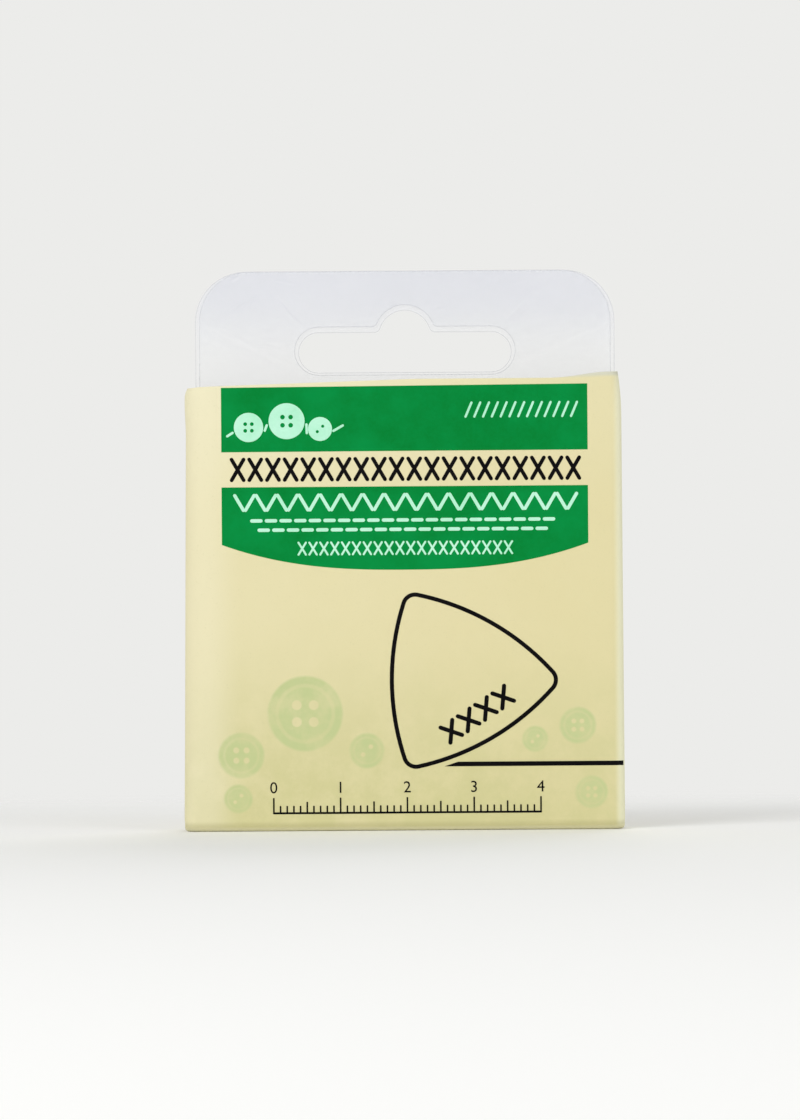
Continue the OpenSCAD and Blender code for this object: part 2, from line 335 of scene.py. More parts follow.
class Shader:
    """A material with short names for the nodes that this scene uses; x, y and z are in millimetres."""

    def __init__(self, name, roughness, **inputs):
        self.material = bpy.data.materials.new(name)
        self.material.use_nodes = True
        self.tree = self.material.node_tree
        self.principled = self.tree.nodes["Principled BSDF"]
        self.set(Roughness=roughness, **inputs)
        self.place = self.node("TexCoord").outputs["Object"]
        scaled = self.node("VectorMath", {"operation": "SCALE"}, (self.place,), Scale=1 / MM)
        self.x, self.y, self.z = self.node("SeparateXYZ", None, (scaled.outputs[0],)).outputs
        self.flat_place = None

    def node(self, kind, settings=None, values=(), **inputs):
        return add_node(self.tree, kind, settings, values, **inputs)

    def noise(self, size, detail=3, roughness=0.5):
        """Noise with lumps of about the given size, from 0 to 1."""
        return self.node("TexNoise", Vector=self.place, Scale=1 / (size * MM), Detail=detail,
                         Roughness=roughness).outputs["Fac"]

    def math(self, kind, *values):
        """A sum on values, each a number or a socket."""
        return self.node("Math", {"operation": kind}, values).outputs[0]

    def ramp(self, value, low, high, to_low=0.0, to_high=1.0):
        """Runs smoothly from to_low to to_high while value goes from low to high."""
        return self.node("MapRange", {"interpolation_type": "SMOOTHSTEP"},
                         (value, low, high, to_low, to_high)).outputs[0]

    def mix(self, fac, a, b):
        """Colour a where fac is 0, and colour b where it is 1."""
        return self.node("Mix", {"data_type": "RGBA"}, Factor=fac, A=a, B=b).outputs["Result"]

    def distance(self, x, z):
        """The distance from a place on the front."""
        if not self.flat_place:
            self.flat_place = self.node("CombineXYZ", X=self.x, Z=self.z).outputs[0]
        return self.node("VectorMath", {"operation": "DISTANCE"},
                         (self.flat_place, (x, 0, z))).outputs["Value"]

    def spot(self, x, z, r, soft):
        """1 inside a round spot and 0 outside it, with a soft edge."""
        return self.ramp(self.distance(x, z), r + soft, r - soft)

    def set(self, **inputs):
        """Sets or links the material's own inputs."""
        put_named(self.tree, self.principled, inputs)

    def bump(self, height, depth):
        """Bump of the given depth."""
        self.set(Normal=self.node("Bump", Strength=1, Distance=depth * MM, Height=height).outputs[0])

    def paper_grain(self, depth):
        """The board's fine grain and its slow unevenness, as bump."""
        fine = self.math("MULTIPLY", self.noise(0.14, 3, 0.6), 0.35)
        self.bump(self.math("ADD", fine, self.noise(4, 3)), depth)


def button_holes(x, z, r, count):
    """The places of a button's holes."""
    return [polar(x, z, 0.32 * r, 45 + 360 / count * k) for k in range(count)]


# Faint buttons in the wash over the foot: place, radius and number of holes
FAINT_BUTTONS = [(-14.8, 17.6, 5.6, 4), (-24.4, 11.4, 3.4, 4), (-5.6, 12.0, 2.6, 2), (26.0, 15.6, 2.7, 4),
                 (19.6, 13.6, 1.9, 2), (-24.9, 4.9, 2.1, 2), (28.0, 5.6, 2.4, 4)]
HOLE_SHARE = 0.13


def cream_tones(s):
    """The card's cream with a greener wash low down and specks, a little darker towards the right, and
    painted highlights at its top left and along its left and right edges.
    """
    blotch = s.ramp(s.noise(9, 4, 0.6), 0.35, 0.68, -0.12, 0.12)
    across = s.math("ADD", s.ramp(s.x, -26, 28), blotch)
    cream = s.mix(across, srgb(230, 221, 177), srgb(226, 216, 168))
    wash = s.math("MULTIPLY", s.ramp(s.z, 34, 4), s.ramp(s.noise(6, 5, 0.65), 0.3, 0.62, 0.45, 1))
    washed = s.mix(wash, cream, srgb(212, 207, 154))
    # Painted highlight over the top, strongest at the left.
    top = s.math("MULTIPLY", s.ramp(s.z, 44, 67), s.ramp(s.x, 30, -30, 0.2, 0.6))
    top_highlit = s.mix(top, washed, srgb(240, 235, 202))
    # Painted highlights along the left edge and along the right edge's fold.
    left = s.mix(s.ramp(s.x, -23.8, -29.5, 0, 0.5), top_highlit, srgb(239, 232, 199))
    right = s.mix(s.ramp(s.x, 31.4, 32.5, 0, 0.7), left, srgb(243, 243, 214))
    speck = s.ramp(s.noise(0.35, 2, 0.7), 0.28, 0.40, 0.12, 0)
    return s.mix(speck, right, srgb(196, 190, 140))


def faint_buttons(s):
    """Where the faint buttons show: on the front only, uneven, each with a ring and its holes."""
    faint = 0.0
    for x, z, r, holes in FAINT_BUTTONS:
        ring = s.math("SUBTRACT", s.spot(x, z, 0.80 * r, 0.2), s.spot(x, z, 0.70 * r, 0.2))
        shape = s.math("SUBTRACT", s.spot(x, z, r, 0.28), s.math("MULTIPLY", ring, 0.35))
        for hx, hz in button_holes(x, z, r, holes):
            shape = s.math("SUBTRACT", shape, s.spot(hx, hz, HOLE_SHARE * r, 0.15))
        faint = s.math("MAXIMUM", faint, shape)
    uneven = s.ramp(s.noise(3.5, 3, 0.6), 0.3, 0.65, 0.5, 1)
    return s.math("MULTIPLY", s.math("MULTIPLY", faint, uneven), s.ramp(s.y, -3.2, -4.0))


def card_print():
    """The printed card, with its faint buttons, a darker, greyer band of painted shade at the right end of
    its mouth, and painted shade along its foot.
    """
    s = Shader("cream_card", 0.5, Specular_IOR_Level=0.15)
    tinted = s.mix(faint_buttons(s), cream_tones(s), srgb(196, 205, 148))
    # The lip: a band of painted shade along the mouth's right end, standing in for the card bending back
    # there.
    sagged = MOUTH_RIGHT - MOUTH_SLOPE * HALF_W - MOUTH_SAG
    above = s.math("SUBTRACT", s.z, s.math("MULTIPLY_ADD", s.x, MOUTH_SLOPE, sagged))
    lip = s.math("MULTIPLY", s.ramp(above, -0.1, 0.5), s.ramp(s.x, 21, 25))
    with_lip_shade = s.mix(lip, tinted, srgb(214, 213, 192))
    # Painted shade along the foot: darkest from 0.8 to 1.7 mm up, and milder on its lowest part.
    shaded = s.mix(s.ramp(s.z, 1.7, 0.8, 0, 0.42), with_lip_shade, srgb(178, 172, 124))
    s.set(Base_Color=s.mix(s.ramp(s.z, 0.8, 0.2), shaded, srgb(219, 214, 176)))
    s.set(Roughness=s.ramp(s.noise(1.6, 4), 0.3, 0.7, 0.44, 0.58))
    s.paper_grain(0.018)
    return s.material


def card_inside():
    """The bare board inside: grey-white and fibrous."""
    s = Shader("bare_card", 0.8, Specular_IOR_Level=0.2)
    fibre = s.ramp(s.noise(0.5, 5, 0.7), 0.3, 0.7)
    s.set(Base_Color=s.mix(fibre, srgb(222, 219, 208), srgb(238, 236, 228)))
    s.bump(s.noise(0.2, 4, 0.7), 0.02)
    return s.material


def card_edge():
    """The cut edge of the board, with its layers a little darker."""
    s = Shader("cut_card", 0.9, Specular_IOR_Level=0.1)
    fibre = s.ramp(s.noise(0.25, 4, 0.8), 0.3, 0.7)
    s.set(Base_Color=s.mix(fibre, srgb(214, 208, 180), srgb(238, 233, 212)))
    s.bump(s.noise(0.12, 3, 0.7), 0.03)
    return s.material


def ink(name, dark, light, roughness, worn):
    """A printed ink that is a little uneven, with tiny bare specks where it is worn."""
    s = Shader(name, roughness, Specular_IOR_Level=0.05)
    mottle = s.ramp(s.noise(7, 5, 0.6), 0.3, 0.7)
    fine = s.ramp(s.noise(0.5, 3, 0.6), 0.35, 0.65, 0, 0.25)
    base = s.mix(fine, s.mix(mottle, dark, light), light)
    speck = s.ramp(s.noise(0.28, 2, 0.8), 0.25, 0.30, 1, 0)
    s.set(Base_Color=s.mix(s.math("MULTIPLY", speck, worn), base, srgb(214, 218, 178)))
    s.set(Roughness=s.ramp(s.noise(1.2, 4), 0.3, 0.7, roughness - 0.06, roughness + 0.1))
    s.paper_grain(0.016)
    return s.material


def frosted(name, top_alpha, low_alpha):
    """Clear sheet with a fine frosting: milky, and clearer lower down, with faint scuffs; bluish at the
    top and whiter lower down, which is painted light.
    """
    s = Shader(name, 0.3, Specular_IOR_Level=0.3)
    s.set(Alpha=s.ramp(s.z, 68, 79, low_alpha, top_alpha))
    cloud = s.ramp(s.noise(16, 3), 0.3, 0.7, 0, 0.4)
    # Bluish at the top and whiter lower down, towards the mouth: painted light.
    base = s.mix(s.ramp(s.z, 83, 68), srgb(233, 235, 244), srgb(252, 253, 253))
    s.set(Base_Color=s.mix(cloud, base, srgb(242, 243, 250)))
    s.set(Roughness=s.ramp(s.noise(0.8, 5, 0.75), 0.45, 0.75, 0.3, 0.45))
    s.bump(s.noise(0.09, 2, 0.5), 0.006)
    return s.material


def sheet_edge():
    """The cut edge of the clear sheet, which looks denser and a little darker."""
    s = Shader("sheet_edge", 0.35, Alpha=0.27, Specular_IOR_Level=0.3)
    s.set(Base_Color=srgb(214, 217, 225))
    return s.material


def chalk_blue():
    """Pressed blue chalk: powdery, pitted and dusty, and paler along its edge, its ridges and its dish's
    rim, partly from rubbing and partly as a painted highlight.
    """
    s = Shader("blue_chalk", 0.95, Specular_IOR_Level=0.1)
    grain = s.ramp(s.noise(0.45, 4, 0.7), 0.3, 0.72)
    base = s.mix(grain, srgb(116, 161, 207), srgb(139, 180, 220))
    dusty = s.mix(s.ramp(s.noise(6, 6, 0.7), 0.46, 0.76, 0, 0.45), base, srgb(180, 207, 233))
    # Paler edge, ridges and dish rim: partly rubbing, partly painted highlight.
    rub_and_highlight = s.node("Attribute", {"attribute_name": "rub_and_highlight"}).outputs["Fac"]
    rubbed_and_highlit = s.math("MULTIPLY", rub_and_highlight, s.ramp(s.noise(1.5, 5, 0.75), 0.3, 0.7, 0.35, 1))
    s.set(Base_Color=s.mix(rubbed_and_highlit, dusty, srgb(196, 219, 240)))
    s.bump(s.math("ADD", s.noise(0.16, 4, 0.7), s.noise(1.2, 3, 0.6)), 0.06)
    return s.material


CREAM = card_print()
BARE = card_inside()
CUT = card_edge()
GREEN = ink("green_ink", srgb(0, 127, 50), srgb(2, 142, 66), 0.6, 0)
BLACK = ink("black_ink", srgb(4, 3, 5), srgb(14, 12, 14), 0.5, 0.1)
PALE = ink("pale_ink", srgb(174, 239, 203), srgb(196, 247, 221), 0.5, 0)
SHEET = frosted("frosted_sheet", 0.23, 0.09)
BEND = frosted("bent_sheet", 0.5, 0.42)
EDGE = sheet_edge()
CHALK = chalk_blue()


# The sleeve

def line_points(start, end, count, region):
    """Points from start to end, without the last one."""
    (x0, y0), (x1, y1) = start, end
    return [(x0 + (x1 - x0) * i / count, y0 + (y1 - y0) * i / count, region) for i in range(count)]


def turn_points(centre, radii, start, end, count, regions, share=0.5):
    """Points round a fold, without the last one; a share of them belongs to the first region."""
    made = []
    for i in range(count):
        angle = radians(start + (end - start) * i / count)
        x, y = centre[0] + radii[0] * cos(angle), centre[1] + radii[1] * sin(angle)
        made.append((x, y, regions[0] if i <= count * share else regions[1]))
    return made


def plan_line(roll_x, roll_y):
    """The sleeve's outer line seen from above, from the glue flap round to the seam, with regions.
    The two radii are those of its left front fold."""
    radii = (FOLD_R, FOLD_R)
    front_fold_y, back_fold_y, glue_fold_y = FRONT_Y + FOLD_R, BACK_Y - FOLD_R, BACK_IN_Y - FOLD_R
    roll = (-HALF_W + roll_x, FRONT_Y + roll_y)
    points = line_points((flap_high.x, BACK_IN_Y), (-FLAT_X, BACK_IN_Y), GLUE_STEPS, "glue")
    points += turn_points((-FLAT_X, glue_fold_y), radii, 90, 180, FOLD_STEPS, ("glue", "left"))
    points += line_points((-HALF_W, glue_fold_y), (-HALF_W, roll[1]), SIDE_STEPS, "left")
    points += turn_points(roll, (roll_x, roll_y), 180, 270, ROLL_STEPS, ("left", "front"), FRONT_CORNER)
    points += line_points((roll[0], FRONT_Y), (FLAT_X, FRONT_Y), PANEL_STEPS, "front")
    points += turn_points((FLAT_X, front_fold_y), radii, 270, 360, CORNER_STEPS, ("front", "right"),
                          1 - FRONT_CORNER)
    points += line_points((HALF_W, front_fold_y), (HALF_W, back_fold_y), SIDE_STEPS, "right")
    points += turn_points((FLAT_X, back_fold_y), radii, 0, 90, FOLD_STEPS, ("right", "back"))
    points += line_points((FLAT_X, BACK_Y), (SEAM_X, BACK_Y), PANEL_STEPS, "back")
    return points + [(SEAM_X, BACK_Y, "back")]


TIGHT_PLAN = plan_line(FOLD_R, FOLD_R)
SOFT_PLAN = plan_line(ROLL_X, ROLL_Y)


def plan_at(place, z):
    """The plan line's point and its outward direction, at a place counted in points along it."""
    soft = smooth(*ROLL_GROWS, z)
    i = min(max(int(place), 1), len(TIGHT_PLAN) - 3)
    near = [Vector(TIGHT_PLAN[k][:2]).lerp(Vector(SOFT_PLAN[k][:2]), soft) for k in range(i - 1, i + 3)]

    def outward(p, q):
        return Vector((q.y - p.y, p.x - q.x)).normalized()

    share = place - i
    out = outward(near[0], near[2]).lerp(outward(near[1], near[3]), share).normalized()
    return near[1].lerp(near[2], share), out


def skin(place, z):
    """A point of the sleeve's printed skin, narrower at its mouth and pressed in a little."""
    spot, out = plan_at(place, z)
    taper = LEFT_TAPER if spot.x < 0 else RIGHT_TAPER
    x = spot.x * (1 - taper / HALF_W * z / MOUTH_RIGHT)
    x += pressed_in(x, z)
    full = smooth(HALF_W, HALF_W - SIDE_BAND, abs(x))
    full *= smooth(*DENT_ENDS_LOW, z) * smooth(*DENT_ENDS_HIGH, z)
    dent = max(DENT * (1 - full) + DENT_WAVE * wave(x, z, 17, 3), 0)
    lip = LIP_DENT * smooth(*LIP_GROWS, z) * (0.5 + 0.5 * wave(x, 0, 14, 8))
    front = max(0, -out.y) * (dent + lip)
    back = out.y * (BACK_DENT + BACK_WAVE * wave(x, z, 20, 11)) if out.y > FLAT_BACK else 0
    return Vector((x, spot.y + front - back, z))


def fold_down(x, y, foot, direction, reach):
    """Points of a flap under the foot, from its free end up to where its fold starts."""
    inward = Vector(direction)
    end = Vector((x, y, foot)) + inward * FOOT_R
    points = [end + inward * reach * (1 - i / FLAP_STEPS) for i in range(FLAP_STEPS)]
    for i in range(FLAP_STEPS):
        angle = radians(90 * (1 - i / FLAP_STEPS))
        rise, depth = FOOT_R * (1 - sin(angle)), FOOT_R * (1 - cos(angle))
        points.append(Vector((x, y, foot + rise)) + inward * depth)
    return points


def flap_reach(region, y):
    """How far a region's flap reaches under the foot past its fold, and in which direction."""
    if region == "front":
        return foot_high.y - FLAP_SHORT - (y + FOOT_R), (0, 1, 0)
    if region == "back":
        return (y - FOOT_R) - (FRONT_Y + FOOT_R), (0, -1, 0)
    return dust_high.x - dust_low.x - FOOT_R, (1 if region == "left" else -1, 0, 0)


def dust_share(x):
    """How wide a dust flap is at a place, as a share of its root."""
    return 1 - DUST_TAPER * min(1, (HALF_W - abs(x)) / DUST_TAPER_L)


def wall_heights(low, high):
    """Heights up a wall, closer together at its foot and its mouth."""
    shares, crowding = [i / WALL_STEPS for i in range(WALL_STEPS + 1)], 0.07
    return [low + (high - low) * (t - crowding * sin(2 * pi * t)) for t in shares]


def glue_column(index, x):
    """One upright row of the glue flap, whose ends are cut back by up to a third of its width."""
    cut = (flap_high.x - flap_low.x) / 3 * smooth(-FLAT_X, flap_high.x, x)
    return [skin(index, z) for z in wall_heights(flap_low.z + cut, flap_high.z - cut)]


def column(index):
    """One upright row of points of the sleeve, with its flap under the foot if it has one."""
    x, y, region = TIGHT_PLAN[index]
    if region == "glue":
        return glue_column(index, x)
    foot = FLAP_LAYER[region] * CARD_T
    low = foot + FOOT_R
    top = mouth_z(plan_at(index, MOUTH_RIGHT)[0].x)
    reach, direction = flap_reach(region, y)
    flap = fold_down(x, y, foot, direction, reach)
    if region in ("left", "right"):
        flap = [Vector((p.x, p.y * dust_share(p.x), p.z)) for p in flap]
    wall = [skin(index, z) for z in wall_heights(low, top)]
    shift = wall[0] - Vector((x, y, low))
    flap = [p + shift * smooth(FLAP_STEPS - 1, 2 * FLAP_STEPS, i) for i, p in enumerate(flap)]
    return [round_foot(p) for p in flap + wall]


def sleeve():
    """The sleeve: one sheet of card folded round, with its flaps folded under the foot."""
    columns = [column(i) for i in range(len(TIGHT_PLAN))]
    rows = max(len(made) for made in columns)
    points, starts = [], []
    for made in columns:
        starts.append(len(points) - (rows - len(made)))
        points += made
    faces = []
    wall_start = rows - (WALL_STEPS + 1)
    for i in range(len(columns) - 1):
        region = TIGHT_PLAN[i][2]
        flap = region == TIGHT_PLAN[i + 1][2] and region != "glue"
        for j in range(0 if flap else wall_start, rows - 1):
            a, b = starts[i] + j, starts[i + 1] + j
            faces.append((a, b, b + 1, a + 1))
    piece = mesh_object("sleeve_card", points, faces, [CREAM, BARE, CUT])
    thicken(piece, CARD_T)
    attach(piece, "sleeve")
    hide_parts("front_panel", "back_panel", "left_side", "right_side", "glue_flap",
                "foot_fold", "bottom_outer_flap", "bottom_inner_flap", "left_dust_flap", "right_dust_flap")


# The print, as thin layers that follow the sleeve's skin

def over_front(x, z, lift):
    """Two points over the printed front, in the ink's outer face and just under the card's skin."""
    low, high, halvings = FRONT_START, FRONT_END, 16
    for _ in range(halvings):
        place = (low + high) / 2
        if skin(place, z).x < x:
            low = place
        else:
            high = place
    here = skin(place, z)
    aside, above = 0.2, 0.1
    across = skin(place + aside, z) - skin(place - aside, z)
    up = skin(place, z + above) - skin(place, z - above)
    normal = across.cross(up).normalized()
    return here + normal * lift, here - normal * INK_SINK


def cut_places(axis, low, high):
    """Where a printed shape is cut so that it can follow the card: finely round the folds."""
    even = [k * CUT_STEP for k in range(floor(low / CUT_STEP) + 1, ceil(high / CUT_STEP))]
    if axis == 1:
        return even
    first, last = floor(low / FINE_STEP) + 1, ceil(high / FINE_STEP)
    fine = [k * FINE_STEP for k in range(first, last) if abs(k * FINE_STEP) > HALF_W - ROLL_X]
    return sorted(set(even + fine))


def fill_loops(flat, loops):
    """Fills loops of flat points, an outer one and its holes, in an empty mesh."""
    edges = []
    for loop in loops:
        verts = [flat.verts.new((x, z, 0)) for x, z in loop]
        edges += [flat.edges.new((verts[i - 1], verts[i])) for i in range(len(verts))]
    bmesh.ops.triangle_fill(flat, edges=edges, use_beauty=True)
    flat.verts.index_update()


def cut_shape(loops):
    """A flat mesh of a printed shape, cut so that it can follow the card."""
    flat = bmesh.new()
    fill_loops(flat, loops)
    for axis in (0, 1):
        spots = [v.co[axis] for v in flat.verts]
        for spot in cut_places(axis, min(spots), max(spots)):
            at, normal = Vector(), Vector()
            at[axis], normal[axis] = spot, 1
            geometry = flat.verts[:] + flat.edges[:] + flat.faces[:]
            bmesh.ops.bisect_plane(flat, geom=geometry, plane_co=at, plane_no=normal)
    bmesh.ops.recalc_face_normals(flat, faces=flat.faces)
    flat.verts.index_update()
    return flat


def layer_faces(flat, start):
    """The faces of a thin layer, whose outer points begin at start: its two sides and its walls."""
    count = len(flat.verts)
    flip = sum(f.normal.z * f.calc_area() for f in flat.faces) < 0
    faces = []
    for face in flat.faces:
        ring = [start + v.index for v in face.verts]
        if flip:
            ring.reverse()
        faces += [ring, [i + count for i in reversed(ring)]]
        for corner in face.loops:
            if len(corner.edge.link_faces) == 1:
                a, b = start + corner.vert.index, start + corner.link_loop_next.vert.index
                if flip:
                    a, b = b, a
                faces.append([b, a, a + count, b + count])
    return faces


def printed(name, shapes, material, lift=INK_LIFT):
    """A thin layer in the shape of the outlines, each a list of loops: an outer one and its holes."""
    points, faces = [], []
    for level, loops in enumerate(shapes):
        flat = cut_shape(loops)
        faces += layer_faces(flat, len(points))
        pairs = [over_front(v.co.x, v.co.y, lift + LAYER_STEP * (level % 3)) for v in flat.verts]
        points += [outer for outer, inner in pairs] + [inner for outer, inner in pairs]
        flat.free()
    piece = mesh_object(name, points, faces, [material], sharp=60)
    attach(piece, "sleeve")
    return piece


def arc(cx, cz, r, start, end, count):
    """Points round an arc, in degrees, ends included."""
    return [polar(cx, cz, r, start + (end - start) * i / count) for i in range(count + 1)]


def disc(cx, cz, r, count):
    """Points round a circle."""
    return arc(cx, cz, r, 0, 360 * (1 - 1 / count), count - 1)


def stroke(x0, z0, x1, z1, width):
    """A straight stitch with round ends."""
    angle = degrees(atan2(z1 - z0, x1 - x0))
    r = width / 2
    return [arc(x1, z1, r, angle - 90, angle + 90, 6) + arc(x0, z0, r, angle + 90, angle + 270, 6)]


def bands():
    """The two green bands; the lower one has a curved foot and short upright ends."""
    left, right = -27.1, 27.75
    middle, half = (left + right) / 2, (right - left) / 2
    upper = [(left, 56.8), (right, 56.87), (right, 66.75), (left, 66.45)]
    top, ends, belly, fullness, count = 51.53, 42.92, 3.87, 2.6, 48
    across = [2 * i / count - 1 for i in range(count + 1)]
    foot = [(middle + half * t, ends - belly * (1 - abs(t) ** fullness)) for t in across]
    lower = foot + [(right, top), (left, top)]
    piece = printed("green_bands", [[upper], [lower]], GREEN, lift=BAND_LIFT)
    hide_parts("printed_bands")


def triangle_outline(cx, cz, side, side_r, corner_r, grow, count=20):
    """A rounded triangle with bulging sides that points right, grown evenly all round."""
    centre_d, reach = arc_centre_d(side, side_r), side_r - corner_r
    corner_d = (sqrt(4 * reach ** 2 - 3 * centre_d ** 2) - centre_d) / 2
    half = degrees(atan2(centre_d * sin(pi / 3), corner_d + centre_d / 2))
    points = []
    for k in range(3):
        turn = 120 * k
        corner = polar(cx, cz, corner_d, turn)
        points += arc(*corner, corner_r + grow, turn - half, turn + half, 10)
        middle = polar(cx, cz, centre_d, turn + 60 + 180)
        points += arc(*middle, side_r + grow, turn + half, turn + 120 - half, count)[1:-1]
    return points


def slanted_crosses():
    """Four bold cross stitches along the lower side of the drawing."""
    slant = radians(33)
    along = Vector((cos(slant), sin(slant)))
    up = Vector((-along.y, along.x))
    first, step, wide, high, width = Vector((6.9, 13.1)), 3.1, 2.1, 2.7, 0.62
    made = []
    for k in range(4):
        low = first + along * step * k
        a, b, c, d = low, low + along * wide + up * high, low + up * high, low + along * wide
        made += [stroke(a.x, a.y, b.x, b.y, width), stroke(c.x, c.y, d.x, d.y, width)]
    return made


def drawing():
    """The black drawing of the chalk, the line that it leaves, and cross stitches in its corner."""
    cx, cz, side, side_r, corner_r, half_w = 8.15, 22.42, 26.3, 37.8, 1.8, 0.31
    ring = [triangle_outline(cx, cz, side, side_r, corner_r, grow) for grow in (half_w, -half_w)]
    start, end, line_z, half_h, cut = 6.0, FLAT_X + 1.35, 9.9, 0.34, 2
    line = [[(start, line_z - half_h), (end, line_z - half_h), (end, line_z + half_h),
             (start + cut, line_z + half_h)]]
    piece = printed("black_drawing", [ring, line] + slanted_crosses(), BLACK)
    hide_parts("printed_outline")


def spans(x0, x1, count, start, end):
    """Where each stitch of a row starts and ends; start and end are shares of its step."""
    step = (x1 - x0) / count
    return [(x0 + step * (k + start), x0 + step * (k + end)) for k in range(count)]


def crosses(x0, x1, z0, z1, count, width):
    """A row of cross stitches."""
    made = []
    for a, b in spans(x0, x1, count, 0.16, 0.84):
        made += [stroke(a, z0, b, z1, width), stroke(a, z1, b, z0, width)]
    return made


def zigzag(x0, x1, z0, z1, count, width):
    """A zigzag row of stitches that don't quite meet."""
    made = []
    for k, (a, b) in enumerate(spans(x0, x1, count, 0.1, 0.9)):
        low, high = (z0, z1) if k % 2 else (z1, z0)
        made.append(stroke(a, low, b, high, width))
    return made


def dashes(x0, x1, z, count, width):
    """A row of running stitches."""
    return [stroke(a, z, b, z, width) for a, b in spans(x0, x1, count, 0, 0.62)]


def slants(x0, x1, z0, z1, count, lean, width):
    """A row of slanted stitches."""
    step = (x1 - x0 - lean) / (count - 1)
    return [stroke(x0 + step * k, z0, x0 + step * k + lean, z1, width) for k in range(count)]


def stitch_rows():
    """Rows of plain stitches: black between the bands, and pale ones on the bands."""
    title = crosses(-26.0, 26.9, 52.6, 55.7, count=20, width=0.56)
    piece = printed("black_stitches", title, BLACK)
    rows = zigzag(-25.3, 26.2, 48.1, 50.3, count=32, width=0.5)
    rows += dashes(-22.6, 23.4, 46.5, count=21, width=0.52)
    rows += dashes(-21.5, 24.5, 45.1, count=21, width=0.52)[:-1]
    rows += crosses(-15.9, 16.6, 41.4, 43.2, count=20, width=0.3)
    rows += slants(9.5, 26.2, 61.9, 64.0, count=13, lean=0.9, width=0.34)
    piece = printed("pale_stitches", rows, PALE)


def button(cx, cz, r, holes):
    """A button's loops: its rim and its holes."""
    spots = button_holes(cx, cz, r, holes)
    return [disc(cx, cz, r, 40)] + [disc(x, z, HOLE_SHARE * r, 16) for x, z in spots]


def buttons():
    """Pale buttons threaded on a stitch in the upper band's left end."""
    places = [(-23.0, 60.5, 2.2, 4), (-17.3, 61.4, 2.7, 4), (-12.3, 60.2, 1.8, 2)]
    shapes = [button(*place) for place in places]
    thread, clear = 0.36, 1.1
    for (ax, az, ar, _), (bx, bz, br, _) in zip(places, places[1:]):
        shapes.append(stroke(ax + ar * clear, az - 0.5, bx - br * clear, bz - 0.6, thread))
    shapes.append(stroke(-26.2, 59.2, -25.4, 59.7, thread))
    shapes.append(stroke(-10.3, 59.9, -8.9, 60.7, thread))
    piece = printed("pale_buttons", shapes, PALE)


def open_loops(flat):
    """The borders of a flat mesh, as loops of its points."""
    border = [e for e in flat.edges if len(e.link_faces) == 1]
    loops = []
    while border:
        first, vert = border.pop(0).verts
        loop = [first]
        while vert != first:
            loop.append(vert)
            edge = next(e for e in vert.link_edges if e in border)
            border.remove(edge)
            vert = edge.other_vert(vert)
        loops.append([(v.co.x, v.co.y) for v in loop])
    return loops


def number_shapes(text, cx, z, height):
    """The loops of plain figures, centred on cx and standing on z."""
    curve = bpy.data.curves.new("figure", "FONT")
    curve.body = text
    curve.align_x = "CENTER"
    figure_share = 0.7
    curve.size = height / figure_share
    curve.resolution_u = 4
    maker = add_object("figure", curve)
    mesh = evaluated_mesh(maker)
    flat = bmesh.new()
    flat.from_mesh(mesh)
    bmesh.ops.remove_doubles(flat, verts=flat.verts, dist=0.0001)
    loops = [[(x + cx, y + z) for x, y in loop] for loop in open_loops(flat)]
    flat.free()
    bpy.data.objects.remove(maker)
    bpy.data.curves.remove(curve)
    bpy.data.meshes.remove(mesh)
    return loops


def ruler():
    """A plain ruler of four centimetres over the foot, with its figures."""
    start, foot, length = -19.6, 2.7, 40
    shapes = [stroke(start, foot, start + length, foot, 0.3)]
    for k in range(length + 1):
        tall = 2.2 if k % 10 == 0 else 1.6 if k % 5 == 0 else 1.0
        shapes.append(stroke(start + k, foot, start + k, foot + tall, 0.24))
    for k in range(length // 10 + 1):
        shapes.append(number_shapes(str(k), start + 10 * k, foot + 3, 1.7))
    piece = printed("black_ruler", shapes, BLACK)


# The tray

def rounded(corners):
    """A loop of points from corners (x, z, r), each turned with its radius, or kept when r is 0."""
    loop = []
    for i, (x, z, r) in enumerate(corners):
        here = Vector((x, z))
        if not r:
            loop.append((x, z))
            continue
        before = (Vector(corners[i - 1][:2]) - here).normalized()
        after = (Vector(corners[(i + 1) % len(corners)][:2]) - here).normalized()
        half = before.angle(after) / 2
        centre = here + (before + after).normalized() * r / sin(half)
        start = here + before * r / tan(half) - centre
        turn = start.angle_signed(here + after * r / tan(half) - centre)
        first = atan2(start.y, start.x)
        count = max(3, round(abs(turn) * TURN_STEPS))
        for k in range(count + 1):
            angle = first - turn * k / count
            loop.append((centre.x + r * cos(angle), centre.y + r * sin(angle)))
    return loop


def inset(loop, depth):
    """The loop moved to its own left, which is into the material, and kept short of spikes."""
    least = 0.2
    moved = []
    for i, (x, z) in enumerate(loop):
        before = (Vector((x, z)) - Vector(loop[i - 1])).normalized()
        after = (Vector(loop[(i + 1) % len(loop)]) - Vector((x, z))).normalized()
        left = Vector((-before.y - after.y, before.x + after.x))
        left *= 2 * depth / max(left.length_squared, least)
        moved.append((x + left.x, z + left.y))
    return moved


